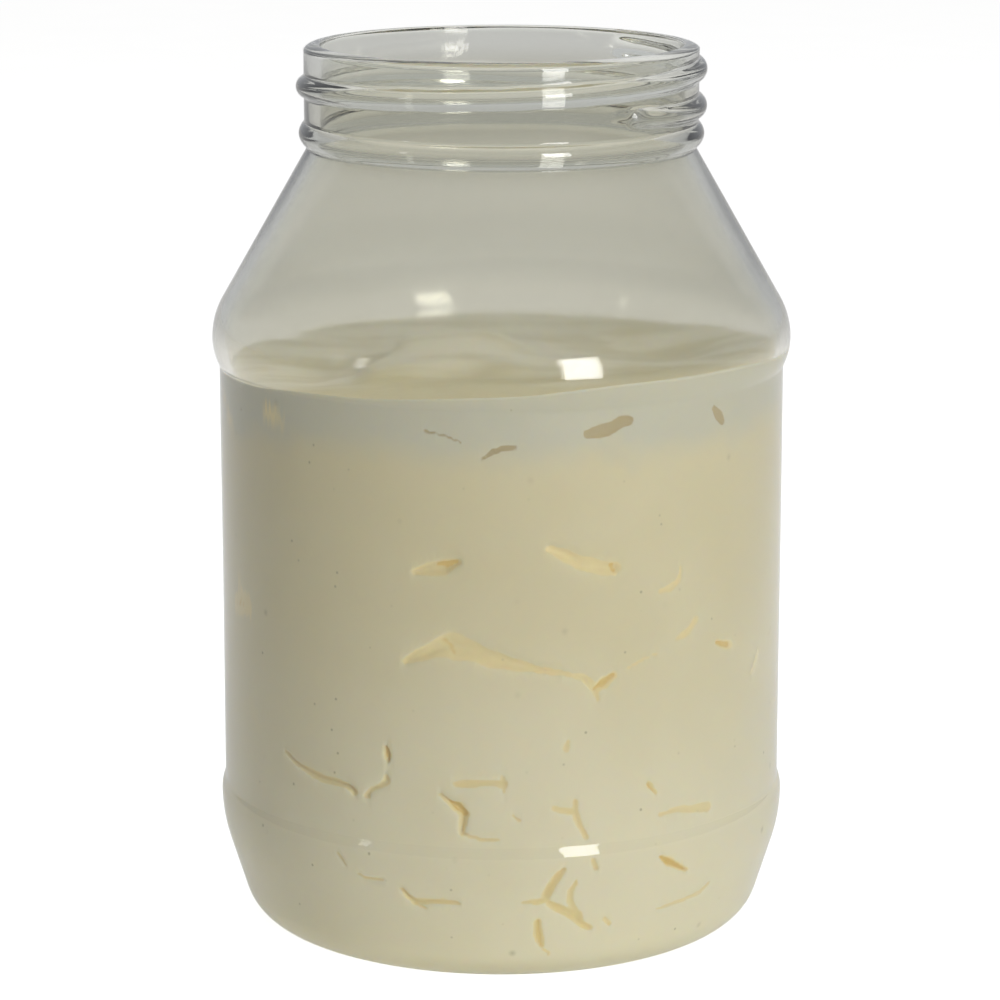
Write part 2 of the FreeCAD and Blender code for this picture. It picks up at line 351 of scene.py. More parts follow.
def jar_mesh():
    """The jar as one closed skin, with a slightly uneven wall and a plain neck."""
    points, outside_rows = jar_rows()
    turn = np.linspace(0.0, 2.0 * math.pi, JAR_COLUMNS, endpoint=False)[None, :]
    radius = np.array([p[0] for p in points])[:, None] + 0.0 * turn
    height = np.array([p[1] for p in points])[:, None] + 0.0 * turn
    inside = (np.arange(len(points)) > outside_rows)[:, None]
    above_fill = smooth_ramp(height, FILL_Z + 6.0, FILL_Z + 22.0)
    radius = radius + inside * above_fill * INNER_WAVE * waves(turn, height, seed=4)
    outside = (~inside) * smooth_ramp(height, 12.0, 30.0)
    radius = radius - outside * OUTER_WAVE * (1.0 + waves(turn, height, seed=9, around=7))
    return lathe_mesh("jar_shell", radius, height, turn)


class Tree:
    """Small helper that adds nodes to a tree and links them, so that a rule reads as a formula."""

    def __init__(self, tree):
        self.tree = tree
        self.nodes = tree.nodes
        self.links = tree.links

    def add(self, kind, **settings):
        node = self.nodes.new(kind)
        for key, value in settings.items():
            setattr(node, key, value)
        return node

    def feed(self, socket, value):
        if isinstance(value, bpy.types.NodeSocket):
            self.links.new(value, socket)
        else:
            socket.default_value = value

    def math(self, operation, *values, clamp=False):
        node = self.add("ShaderNodeMath", operation=operation, use_clamp=clamp)
        for socket, value in zip(node.inputs, values):
            self.feed(socket, value)
        return node.outputs[0]


def screw_thread_tree():
    """Geometry Nodes rule that raises a screw thread from the rows of a round neck."""
    tree = bpy.data.node_groups.new("screw_thread", "GeometryNodeTree")
    face = tree.interface
    face.new_socket("Geometry", in_out="INPUT", socket_type="NodeSocketGeometry")
    face.new_socket("Geometry", in_out="OUTPUT", socket_type="NodeSocketGeometry")
    for name in ("Neck Radius", "Side Height", "Pitch", "Proud", "Half Width", "Root", "Start",
                 "Sweep", "Fade", "Fillet", "Runout", "Runout Lift", "Tail", "Tail Share"):
        face.new_socket(name, in_out="INPUT", socket_type="NodeSocketFloat")
    face.new_socket("Material", in_out="INPUT", socket_type="NodeSocketMaterial")
    t = Tree(tree)
    given = t.add("NodeGroupInput").outputs
    place = t.add("ShaderNodeSeparateXYZ")
    t.links.new(t.add("GeometryNodeInputPosition").outputs[0], place.inputs[0])
    x, y, z = place.outputs
    radius = t.math("SQRT", t.math("ADD", t.math("MULTIPLY", x, x), t.math("MULTIPLY", y, y)))
    azimuth = t.math("DEGREES", t.math("ARCTAN2", y, x))
    first = t.math("FLOORED_MODULO", t.math("SUBTRACT", given["Start"], azimuth), 360.0)

    def ridge(travelled):
        """How far the thread stands out where it passes after an angle travelled."""
        left = t.math("SUBTRACT", given["Sweep"], travelled)
        to_end = t.math("DIVIDE", t.math("MINIMUM", travelled, left), given["Fade"], clamp=True)
        share = t.math("SINE", t.math("MULTIPLY", to_end, math.pi / 2.0))
        into_tail = t.math("DIVIDE", t.math("ADD", left, given["Tail"]), given["Tail"], clamp=True)
        low = t.math("MULTIPLY", given["Tail Share"], t.math("SQRT", into_tail))
        late = t.math("LESS_THAN", left, t.math("MULTIPLY", given["Fade"], 2.0))
        share = t.math("MAXIMUM", share, t.math("MULTIPLY", low, late))
        runout = t.math("DIVIDE", t.math("SUBTRACT", given["Runout"], left), given["Runout"],
                        clamp=True)
        lift = t.math("MULTIPLY", given["Runout Lift"], t.math("MULTIPLY", runout, runout))
        fall = t.math("DIVIDE", t.math("SUBTRACT", given["Start"], travelled), 360.0)
        centre = t.math("ADD", given["Side Height"],
                        t.math("MULTIPLY_ADD", given["Pitch"], fall, lift))
        off = t.math("SUBTRACT", z, centre)
        span = t.math("MULTIPLY", given["Half Width"], given["Half Width"])
        round_top = t.math("MAXIMUM", t.math("SUBTRACT", span, t.math("MULTIPLY", off, off)), 0.0)
        scale = t.math("DIVIDE", t.math("ADD", given["Proud"], given["Root"]), given["Half Width"])
        height = t.math("MULTIPLY", t.math("MULTIPLY", t.math("SQRT", round_top), scale), share)
        return t.math("SUBTRACT", height, given["Root"])

    second = t.math("ADD", first, 360.0)
    higher = t.math("MAXIMUM", ridge(first), ridge(second))
    smooth = t.math("SMOOTH_MAX", higher, 0.0, given["Fillet"])
    settled = t.math("SUBTRACT", smooth, t.math("DIVIDE", given["Fillet"], 6.0))
    rise = t.math("MAXIMUM", settled, 0.0)
    stretch = t.math("DIVIDE", rise, radius)
    push = t.add("ShaderNodeCombineXYZ")
    t.feed(push.inputs[0], t.math("MULTIPLY", x, stretch))
    t.feed(push.inputs[1], t.math("MULTIPLY", y, stretch))
    off_skin = t.math("ABSOLUTE", t.math("SUBTRACT", radius, given["Neck Radius"]))
    on_skin = t.math("LESS_THAN", off_skin, SKIN_TOLERANCE * MM)
    lowest = t.math("SUBTRACT", given["Side Height"], NECK_SKIN_DEPTH * MM)
    high_enough = t.math("GREATER_THAN", z, lowest)
    chosen = t.add("FunctionNodeBooleanMath", operation="AND")
    t.links.new(on_skin, chosen.inputs[0])
    t.links.new(high_enough, chosen.inputs[1])
    move = t.add("GeometryNodeSetPosition")
    t.links.new(given["Geometry"], move.inputs["Geometry"])
    t.links.new(chosen.outputs[0], move.inputs["Selection"])
    t.links.new(push.outputs[0], move.inputs["Offset"])
    realize = t.add("GeometryNodeRealizeInstances")
    t.links.new(move.outputs[0], realize.inputs[0])
    paint = t.add("GeometryNodeSetMaterial")
    t.links.new(realize.outputs[0], paint.inputs["Geometry"])
    t.links.new(given["Material"], paint.inputs["Material"])
    t.links.new(paint.outputs[0], t.add("NodeGroupOutput").inputs[0])
    return tree


def finish_with_nodes(piece, tree, values):
    """Runs a Geometry Nodes tree on a piece with named inputs and keeps the plain mesh."""
    modifier = piece.modifiers.new(tree.name, "NODES")
    modifier.node_group = tree
    sockets = {s.name: s.identifier for s in tree.interface.items_tree if s.in_out == "INPUT"}
    for name, value in values.items():
        modifier[sockets[name]] = value
    bpy.context.view_layer.update()
    shaped = piece.evaluated_get(bpy.context.evaluated_depsgraph_get())
    mesh = bpy.data.meshes.new_from_object(shaped)
    piece.modifiers.remove(modifier)
    old = piece.data
    piece.data = mesh
    bpy.data.meshes.remove(old)
    mesh.name = piece.name
    mesh.shade_smooth()
    return piece


def make_jar(material):
    """The jar with its screw thread, as one plain mesh."""
    jar = new_object("jar_shell", jar_mesh())
    return finish_with_nodes(jar, screw_thread_tree(), {
        "Neck Radius": NECK_RADIUS * MM, "Side Height": THREAD_SIDE_Z * MM,
        "Pitch": THREAD_PITCH * MM, "Proud": THREAD_PROUD * MM,
        "Half Width": THREAD_HALF_WIDTH * MM, "Root": THREAD_ROOT * MM,
        "Start": THREAD_START, "Sweep": THREAD_SWEEP, "Fade": THREAD_FADE,
        "Fillet": THREAD_FILLET * MM, "Runout": THREAD_RUNOUT,
        "Runout Lift": THREAD_RUNOUT_LIFT * MM, "Tail": THREAD_TAIL,
        "Tail Share": THREAD_TAIL_SHARE, "Material": material})


# ---------------------------------------------------------------- the filling

def rim_height(azimuth):
    """Height at which the filling's top meets the wall."""
    u = np.cos(azimuth)
    v = np.sin(azimuth)
    plain = FILL_Z + FILL_TILT_X * u - FILL_TILT_Y * v - FILL_TWIST * u * v
    plain = plain - FILL_BACK_DROP * smooth_ramp(v, 0.1, 1.0)
    return plain + 0.25 * np.sin(5.0 * azimuth + 0.6) + 0.15 * np.sin(11.0 * azimuth + 2.0)


def bump(u, v, centre_u, centre_v, spread_u, spread_v):
    """Smooth hill of height one, in shares of the bore's radius."""
    return np.exp(-((u - centre_u) / spread_u) ** 2 - ((v - centre_v) / spread_v) ** 2)


def fill_relief(u, v):
    """Spooned unevenness of the filling's top, in shares of its tallest lump."""
    bent = v + 0.35 * (u + 0.2) ** 2 + 0.03 * np.sin(11.0 * u)
    step = smooth_ramp(u + 0.05 * np.sin(9.0 * v), -0.50, -0.40) * (1.0 - smooth_ramp(u, -0.05, 0.22))
    step = step * smooth_ramp(bent, -0.66, -0.48) * (1.0 - smooth_ramp(bent, -0.20, 0.10))
    return (0.62 * step
            + 0.62 * bump(u, v, -0.20, -0.14, 0.30, 0.24)
            + 0.42 * bump(u, v, 0.38, -0.30, 0.26, 0.22)
            - 1.05 * bump(u, v, 0.62, 0.14, 0.27, 0.42)
            - 0.60 * bump(u, v, -0.66, -0.30, 0.17, 0.34)
            - 0.35 * bump(u, v, -0.10, 0.60, 0.50, 0.25)
            + 0.08 * np.sin(7.0 * u + 1.3) * np.cos(6.0 * v - 0.4))


def wall_radius(height):
    """Inside radius of the wall beside the filling's edge."""
    proud = INNER_BEAD_RADIUS - BORE_RADIUS
    rise = SHOULDER_BEAD_Z - INNER_BEAD_FOOT_Z
    bead = (rise ** 2 + proud ** 2) / (2.0 * proud)
    below_ring = np.clip(SHOULDER_BEAD_Z - height, 0.0, rise)
    return INNER_BEAD_RADIUS - bead + np.sqrt(bead ** 2 - below_ring ** 2)


# Air pockets against the wall: depth, warmth of the colour painted inside (cream, and in
# the warmer ones brown painted shade), and a run of places (azimuth in degrees, height, half width).
POCKETS = [
    (1.6, 0.5, [(-107.5, 113.6, 0.8), (-104.4, 114.4, 1.7), (-101.5, 115.4, 2.2), (-98.6, 116.9, 0.8)]),
    (1.2, 1.0, [(-103.0, 116.1, 0.5), (-101.0, 116.0, 1.2), (-98.9, 116.9, 0.6)]),
    (1.6, 0.5, [(-80.6, 120.3, 0.7), (-77.2, 118.3, 1.9), (-74.0, 116.0, 2.1), (-70.5, 114.4, 1.9),
                (-67.0, 113.9, 1.7)]),
    (1.0, 0.9, [(-67.6, 115.2, 0.7), (-67.0, 112.9, 0.7)]),
    (1.5, 0.5, [(-109.4, 89.4, 0.8), (-105.0, 92.2, 1.9), (-100.6, 94.6, 3.1), (-96.0, 92.8, 2.9),
                (-91.0, 91.0, 2.3), (-84.0, 88.4, 1.0), (-77.0, 86.6, 0.5)]),
    (1.6, 0.7, [(-101.6, 95.8, 0.8), (-100.2, 94.0, 1.0), (-99.6, 92.2, 0.5)]),
    (0.7, 0.5, [(-77.0, 86.6, 0.4), (-73.5, 85.2, 0.9), (-71.2, 81.8, 1.2), (-70.4, 79.2, 0.6)]),
    (1.2, 0.8, [(-71.2, 81.6, 0.8), (-69.0, 83.2, 1.6), (-67.1, 85.2, 0.9)]),
    (0.6, 0.4, [(-57.0, 106.2, 0.4), (-54.2, 106.8, 1.1), (-52.0, 108.4, 0.8), (-51.6, 111.6, 0.4)]),
    (0.7, 0.4, [(-52.4, 92.4, 0.5), (-49.2, 94.0, 1.4), (-47.2, 96.6, 0.9)]),
    (1.2, 0.9, [(-40.8, 89.0, 0.9), (-36.6, 87.2, 1.0)]),
    (0.6, 0.3, [(-27.6, 76.8, 0.7), (-25.5, 79.5, 0.7), (-24.5, 82.0, 0.5)]),
    (0.4, 0.3, [(-64.2, 86.5, 0.3), (-60.7, 88.4, 0.4), (-57.1, 89.7, 0.3)]),
    (0.9, 0.6, [(-139.6, 58.7, 0.4), (-136.4, 56.3, 0.6), (-132.8, 55.0, 0.9), (-129.1, 54.0, 1.1),
                (-125.1, 53.8, 0.8), (-122.1, 53.1, 0.9), (-120.9, 51.9, 1.0)]),
    (0.8, 0.5, [(-118.0, 51.4, 0.9), (-117.3, 53.2, 0.6), (-115.5, 54.3, 0.5), (-113.7, 56.0, 0.9),
                (-113.6, 57.6, 0.5)]),
    (1.2, 1.0, [(-113.8, 65.8, 0.4), (-113.4, 63.7, 0.9), (-113.2, 61.8, 0.5)]),
    (0.7, 0.5, [(-99.4, 57.0, 0.7), (-97.3, 57.1, 1.2), (-94.3, 57.5, 0.9), (-91.9, 57.5, 0.6),
                (-89.7, 57.3, 1.3)]),
    (0.5, 0.4, [(-89.8, 59.3, 0.5), (-89.5, 55.4, 0.5)]),
    (1.3, 0.6, [(-102.3, 54.0, 0.3), (-100.0, 51.5, 0.8), (-97.6, 49.2, 1.3), (-97.8, 46.1, 1.1),
                (-98.0, 43.6, 0.7)]),
    (1.5, 1.0, [(-100.4, 52.0, 0.5), (-98.8, 50.7, 1.3), (-97.3, 49.0, 1.0)]),
    (0.5, 0.5, [(-98.0, 43.6, 0.5), (-95.9, 42.6, 0.4), (-93.3, 41.9, 0.35), (-90.3, 41.7, 0.25)]),
    (0.5, 0.3, [(-87.8, 48.5, 0.35), (-86.0, 46.8, 0.45)]),
    (0.6, 0.5, [(-79.5, 50.1, 0.6), (-77.6, 49.4, 0.9), (-75.5, 49.2, 1.0)]),
    (0.8, 0.4, [(-75.1, 51.6, 0.8), (-75.1, 48.6, 1.0), (-74.3, 45.2, 0.7), (-72.8, 41.7, 0.9)]),
    (0.9, 0.7, [(-59.0, 53.9, 0.9), (-57.3, 51.3, 0.4)]),
    (0.5, 0.4, [(-43.3, 43.9, 1.4), (-47.3, 44.7, 1.2), (-51.5, 45.5, 0.8), (-56.5, 45.0, 0.4)]),
    (1.3, 1.0, [(-56.1, 33.5, 0.6), (-54.2, 31.9, 1.3), (-51.9, 30.2, 0.8), (-49.1, 28.2, 0.5)]),
    (0.5, 0.3, [(-41.0, 22.1, 0.6), (-43.0, 20.0, 0.8), (-49.6, 19.0, 0.6), (-55.2, 18.3, 0.3)]),
    (1.2, 0.6, [(-80.9, 26.4, 1.4), (-80.0, 29.0, 1.2), (-78.8, 31.5, 1.0), (-77.4, 33.4, 0.6)]),
    (0.9, 0.5, [(-80.7, 25.4, 1.0), (-83.0, 24.6, 0.7), (-85.7, 24.8, 0.4)]),
    (1.2, 0.6, [(-80.2, 24.2, 0.8), (-77.5, 22.1, 1.2), (-74.5, 19.9, 1.6), (-73.2, 17.5, 1.2),
                (-70.7, 15.6, 0.7)]),
    (0.7, 0.5, [(-74.7, 29.9, 0.4), (-75.9, 27.4, 0.7), (-75.9, 24.7, 0.9), (-74.8, 21.5, 1.1)]),
    (0.8, 0.4, [(-71.4, 35.2, 0.6), (-70.7, 32.9, 0.8)]),
    (1.0, 0.7, [(-82.3, 18.7, 0.9), (-82.2, 15.6, 1.3), (-81.6, 12.4, 0.8), (-81.3, 10.9, 0.5)]),
    (0.4, 0.4, [(-81.1, 10.2, 0.3), (-79.4, 8.8, 0.3)]),
    (0.6, 0.4, [(-67.7, 17.9, 0.6), (-66.3, 16.1, 0.5)]),
    (0.8, 0.6, [(-110.6, 27.1, 0.4), (-109.4, 25.2, 0.8), (-108.0, 23.6, 1.0), (-105.1, 24.2, 0.7),
                (-101.8, 24.6, 0.6), (-98.7, 24.2, 0.4)]),
    (0.4, 0.3, [(-107.8, 23.3, 0.6), (-105.9, 22.0, 0.4)]),
    (0.3, 0.3, [(-120.6, 30.0, 0.3), (-118.7, 28.9, 0.35), (-116.4, 28.8, 0.4), (-114.5, 28.8, 0.35)]),
    (0.3, 0.2, [(-125.0, 34.4, 0.3), (-123.8, 32.7, 0.35), (-123.2, 31.4, 0.3)]),
    # Depth 0: pockets only painted on, without a hollow; the warmer ones carry painted shade too.
    (0.0, 0.9, [(-160.9, 93.3, 1.2), (-156.1, 95.4, 1.7), (-152.8, 95.5, 1.0)]),
    (0.0, 0.5, [(-159.1, 101.4, 0.5), (-156.6, 97.0, 0.8)]),
    (0.0, 0.4, [(-145.8, 151.2, 0.9), (-142.4, 150.6, 1.6), (-139.0, 149.4, 0.9)]),
    (0.0, 0.4, [(-172.0, 151.6, 0.5), (-168.0, 148.6, 1.1), (-164.0, 145.4, 1.3), (-160.5, 143.2, 0.6)]),
    (0.0, 0.3, [(-153.0, 67.0, 0.6), (-149.4, 63.8, 0.8)]),
    (0.6, 0.4, [(-77.0, 66.3, 0.8), (-76.6, 68.4, 0.6)]),
]

# Gaps in the thin smear above the filling, where the filling shows, painted tan as its shade deeper
# behind the wall.
WINDOWS = [
    (0.35, 1.0, [(-72.9, 150.2, 1.3), (-70.6, 150.9, 1.7), (-68.6, 151.4, 1.5), (-66.4, 152.4, 1.7),
                 (-64.2, 152.9, 1.2)]),
    (0.35, 1.0, [(-42.6, 152.9, 0.9), (-41.2, 150.9, 1.4), (-40.0, 148.9, 1.1)]),
    (0.30, 0.8, [(-93.8, 144.2, 0.35), (-91.8, 146.2, 0.7), (-89.6, 147.2, 0.7), (-87.0, 147.3, 0.45)]),
    (0.25, 0.5, [(-105.2, 151.2, 0.5), (-101.2, 150.2, 0.4), (-98.0, 148.6, 0.35)]),
]

POCKET_SEED = 31
HIDDEN_POCKETS = 34           # further ones, round the sides and the back
HIDDEN_FIRST = -2.0           # azimuths between which they start
HIDDEN_LAST = 172.0
HIDDEN_FOOT = 20.0            # height of the lowest, and the span above it
HIDDEN_SPAN = 100.0
STEP_AROUND = 3.1             # from place to place along one of them, degrees
STEP_UP = 4.2                 # and mm


def hidden_pockets():
    """Pockets of the same kinds on the part of the wall that the front doesn't show."""
    rng = np.random.default_rng(POCKET_SEED)
    found = []
    for _ in range(HIDDEN_POCKETS):
        azimuth = rng.uniform(HIDDEN_FIRST, HIDDEN_LAST)
        height = HIDDEN_FOOT + HIDDEN_SPAN * rng.beta(1.0, 1.4)
        width = rng.uniform(0.5, 1.9)
        heading = rng.uniform(-0.9, 0.9)
        steps = rng.integers(2, 6)
        run = []
        for step in range(steps):
            taper = math.sin(math.pi * (step + 0.7) / (steps + 0.4))
            run.append((azimuth, height, max(0.3, width * taper * rng.uniform(0.7, 1.2))))
            azimuth += STEP_AROUND * math.cos(heading)
            height += STEP_UP * math.sin(heading)
            heading += rng.uniform(-0.7, 0.7)
        found.append((0.5 * (rng.uniform(0.8, 1.7) * width + 0.3), rng.uniform(0.3, 1.0), run))
    return found


def run_field(azimuth, height, radius, runs, ragged):
    """Depth under each point of the wall for a list of runs, and the strength of the colour painted
    there, whose strong values paint shade.
    """
    depth = np.zeros(azimuth.shape)
    inside = np.zeros(azimuth.shape)
    for deep, warmth, run in runs:
        middle = math.radians(run[len(run) // 2][0])
        reach = 3.0 + max(p[2] for p in run)
        heights = [p[1] for p in run]
        turns = [math.radians(p[0]) for p in run]
        offset = (azimuth - middle + math.pi) % (2.0 * math.pi) - math.pi
        across = max(abs(t - middle) for t in turns) + reach / 50.0
        near = (np.abs(offset) < across) & (height > min(heights) - reach)
        near &= height < max(heights) + reach
        a = offset[near] * radius[near]
        h = height[near]
        around = radius[near]
        best = np.full(a.shape, 9.0)
        for (t0, h0, w0), (t1, h1, w1) in zip(run[:-1], run[1:]):
            a0 = (math.radians(t0) - middle) * around
            a1 = (math.radians(t1) - middle) * around
            length2 = (a1 - a0) ** 2 + (h1 - h0) ** 2
            share = np.clip(((a - a0) * (a1 - a0) + (h - h0) * (h1 - h0)) / length2, 0.0, 1.0)
            distance = np.hypot(a - a0 - share * (a1 - a0), h - h0 - share * (h1 - h0))
            best = np.minimum(best, distance / (w0 + share * (w1 - w0)))
        best = best + ragged[near] * 0.18
        bowl = np.clip(1.0 - np.clip(best, 0.0, 1.0) ** 2, 0.0, 1.0)
        tilted = bowl * (1.0 + 0.25 * ragged[near])
        depth[near] = np.maximum(depth[near], deep * tilted + INTO_WALL * (bowl > 0.0) * (deep > 0.0))
        inside[near] = np.maximum(inside[near], warmth * smooth_ramp(1.2 - best, 0.0, 0.7))
    return depth, inside


def spoon_marks(u, v):
    """Folds that a spoon left in the top, in millimetres."""
    rng = np.random.default_rng(5)
    total = np.zeros(u.shape)
    for _ in range(9):
        angle = rng.uniform(0.0, math.pi)
        along = u * math.cos(angle) + v * math.sin(angle)
        across = -u * math.sin(angle) + v * math.cos(angle)
        place = rng.uniform(-0.7, 0.7)
        bow = rng.uniform(-0.5, 0.5)
        offset = across - place - bow * along * along
        width = rng.uniform(0.06, 0.14)
        fold = np.exp(-(offset / width) ** 2) * np.exp(-((along - rng.uniform(-0.4, 0.4)) / 0.45) ** 2)
        total = total + rng.uniform(-1.4, 1.4) * fold
    return total + 0.25 * np.sin(19.0 * u + 4.0 * v) * np.cos(17.0 * v - 3.0 * u)


def filling_mesh():
    """The whole filling as one closed skin: bottom and side against the wall, and its top."""
    side = base_run(BASE_WALL, 2.2)[1:]
    fine = []
    for a, b in zip(side[:-1], side[1:]):
        fine += straight(a, b, FILL_ROW_STEP if a[1] > 8.0 else 2.5)[:-1]
    fine += straight((BORE_RADIUS, BASE_BEAD_Z), (BORE_RADIUS, FILL_Z), FILL_ROW_STEP)
    turn = np.linspace(-math.pi, math.pi, FILL_COLUMNS, endpoint=False)[None, :]
    rim = rim_height(turn)
    radius = np.array([p[0] for p in fine])[:, None] + 0.0 * turn
    height = np.array([p[1] for p in fine])[:, None] + 0.0 * turn
    height = height + (rim - FILL_Z) * smooth_ramp(height, FILL_Z - FILL_EDGE_REACH, FILL_Z)
    azimuth = turn + 0.0 * height
    ragged = waves(azimuth, height, seed=12, count=24, around=60, along=5.0)
    pockets, in_pocket = run_field(azimuth, height, radius, POCKETS + hidden_pockets(), ragged)
    gaps, in_gap = run_field(azimuth, height, radius, WINDOWS, ragged)
    radius = np.where(height > INNER_BEAD_FOOT_Z, wall_radius(height), radius)
    radius = radius + INTO_WALL - np.maximum(pockets, gaps)

    shares = np.cos(np.linspace(0.0, math.pi / 2.0, FILL_TOP_RINGS + 1)[1:-1])[:, None]
    shares = np.sort(shares ** 0.8, axis=0)[::-1]
    top_radius = (wall_radius(rim) + INTO_WALL) * shares
    u = top_radius * np.cos(turn) / BORE_RADIUS
    v = top_radius * np.sin(turn) / BORE_RADIUS
    away = 1.0 - np.clip(np.hypot(u, v), 0.0, 1.0) ** 4
    plain = FILL_Z + FILL_TILT_X * u - FILL_TILT_Y * v - FILL_TWIST * u * v
    near_wall = smooth_ramp(shares, 0.7, 1.0)
    top_height = plain + (rim - FILL_Z - (plain - FILL_Z)) * near_wall
    top_height = top_height + away * FILL_RELIEF * fill_relief(u, v)
    top_height = top_height + away * spoon_marks(u, v)

    mesh = lathe_mesh("mayonnaise_filling", np.vstack([radius, top_radius]),
                      np.vstack([height, top_height]), turn)
    for name, values in (("pocket", in_pocket), ("gap", in_gap), ("wall", np.ones(radius.shape))):
        layer = mesh.attributes.new(name, "FLOAT", "POINT")
        data = np.zeros(len(mesh.vertices), np.float32)
        data[:values.size] = values.reshape(-1)
        layer.data.foreach_set("value", data)
    return mesh


def make_filling(material):
    """The filling, thinned to a set number of triangles, as one plain mesh."""
    piece = new_object("mayonnaise_filling", filling_mesh())
    count = sum(len(p.vertices) - 2 for p in piece.data.polygons)
    thin = piece.modifiers.new("thin", "DECIMATE")
    thin.ratio = FILL_TRIANGLES / count
    bpy.context.view_layer.update()
    shaped = piece.evaluated_get(bpy.context.evaluated_depsgraph_get())
    mesh = bpy.data.meshes.new_from_object(shaped)
    piece.modifiers.remove(thin)
    piece.data = mesh
    mesh.name = piece.name
    mesh.shade_smooth()
    mesh.materials.append(material)
    return piece


# ---------------------------------------------------------------- materials

def new_material(name):
    """An empty node material and the helper that fills it."""
    material = bpy.data.materials.new(name)
    material.use_nodes = True
    material.node_tree.nodes.clear()
    return material, Tree(material.node_tree)


def uneven_group():
    """Shared effect: soft unevenness at a size given in millimetres, and its light/dark share."""
    tree = bpy.data.node_groups.new("soft_unevenness", "ShaderNodeTree")
    face = tree.interface
    face.new_socket("Vector", in_out="INPUT", socket_type="NodeSocketVector")
    for name, value in (("Size", 5.0), ("Detail", 3.0), ("Low", 0.35), ("High", 0.65)):
        face.new_socket(name, in_out="INPUT", socket_type="NodeSocketFloat").default_value = value
    face.new_socket("Mask", in_out="OUTPUT", socket_type="NodeSocketFloat")
    face.new_socket("Height", in_out="OUTPUT", socket_type="NodeSocketFloat")
    t = Tree(tree)
    given = t.add("NodeGroupInput").outputs
    noise = t.add("ShaderNodeTexNoise")
    t.links.new(given["Vector"], noise.inputs["Vector"])
    t.feed(noise.inputs["Scale"], t.math("DIVIDE", 1000.0, given["Size"]))
    t.links.new(given["Detail"], noise.inputs["Detail"])
    ramp = t.add("ShaderNodeMapRange", interpolation_type="SMOOTHSTEP")
    t.links.new(noise.outputs[0], ramp.inputs["Value"])
    t.links.new(given["Low"], ramp.inputs["From Min"])
    t.links.new(given["High"], ramp.inputs["From Max"])
    out = t.add("NodeGroupOutput").inputs
    t.links.new(ramp.outputs[0], out["Mask"])
    t.links.new(noise.outputs[0], out["Height"])
    return tree


def specks_group():
    """Shared effect: sparse round specks, with a spacing and a speck radius in millimetres."""
    tree = bpy.data.node_groups.new("sparse_specks", "ShaderNodeTree")
    face = tree.interface
    face.new_socket("Vector", in_out="INPUT", socket_type="NodeSocketVector")
    for name, value in (("Spacing", 8.0), ("Radius", 0.4), ("Share", 0.3)):
        face.new_socket(name, in_out="INPUT", socket_type="NodeSocketFloat").default_value = value
    face.new_socket("Mask", in_out="OUTPUT", socket_type="NodeSocketFloat")
    t = Tree(tree)
    given = t.add("NodeGroupInput").outputs
    cells = t.add("ShaderNodeTexVoronoi")
    t.links.new(given["Vector"], cells.inputs["Vector"])
    t.feed(cells.inputs["Scale"], t.math("DIVIDE", 1000.0, given["Spacing"]))
    distance = t.math("MULTIPLY", cells.outputs["Distance"], given["Spacing"])
    near = t.math("SUBTRACT", 1.0, t.math("DIVIDE", distance, given["Radius"]), clamp=True)
    split = t.add("ShaderNodeSeparateColor")
    t.links.new(cells.outputs["Color"], split.inputs[0])
    chosen = t.math("LESS_THAN", split.outputs[0], given["Share"])
    t.links.new(t.math("MULTIPLY", t.math("MULTIPLY", near, chosen), split.outputs[1]),
                t.add("NodeGroupOutput").inputs["Mask"])
    return tree


def use_group(t, group, **values):
    """Places a shared effect with its own values."""
    node = t.add("ShaderNodeGroup", node_tree=group)
    for name, value in values.items():
        t.feed(node.inputs[name], value)
    return node.outputs


def mix_colour(t, factor, a, b):
    """Colour a where the factor is 0 and b where it is 1."""
    node = t.add("ShaderNodeMix", data_type="RGBA")
    t.feed(node.inputs["Factor"], factor)
    t.feed(node.inputs["A"], a)
    t.feed(node.inputs["B"], b)
    return node.outputs["Result"]


def attribute(t, name):
    """Value that the mesh carries under a name."""
    return t.add("ShaderNodeAttribute", attribute_name=name).outputs["Fac"]


def ramp(t, value, low, high):
    """From 0 to 1 between two values, with soft ends."""
    node = t.add("ShaderNodeMapRange", interpolation_type="SMOOTHSTEP")
    t.feed(node.inputs["Value"], value)
    node.inputs["From Min"].default_value = low
    node.inputs["From Max"].default_value = high
    return node.outputs[0]


def height_ramp(t, height, level, low, high):
    """From 0 to 1 between two heights, given in millimetres from a level of the jar."""
    return ramp(t, height, (level + low) * MM, (level + high) * MM)


UNEVEN = uneven_group()
SPECKS = specks_group()

# Tints of the plastic.  They darken towards the neck, partly for its thicker wall and partly as painted
# shade of the curved bead and neck.
PLASTIC_TINT = (0.955, 0.935, 0.85, 1.0)
PLASTIC_HAZE_TINT = (0.91, 0.885, 0.79, 1.0)
PLASTIC_SHOULDER_TINT = (0.79, 0.785, 0.715, 1.0)
PLASTIC_CONE_TINT = (0.836, 0.829, 0.758, 1.0)
PLASTIC_NECK_TINT_AND_SHADE = (0.71, 0.705, 0.63, 1.0)
PLASTIC_LIP_TINT = (0.862, 0.869, 0.828, 1.0)
PLASTIC_PASSING = (0.95, 0.955, 0.93, 1.0)      # on light that goes straight through
PLASTIC_ROUGHNESS = 0.022
STREAK_ROUGHNESS = 0.045
CONE_ROUGHNESS = 0.045
DEEPEST_BOUNCE = 8.0          # further in, light leaves the plastic straight
PLASTIC_IOR = 1.52


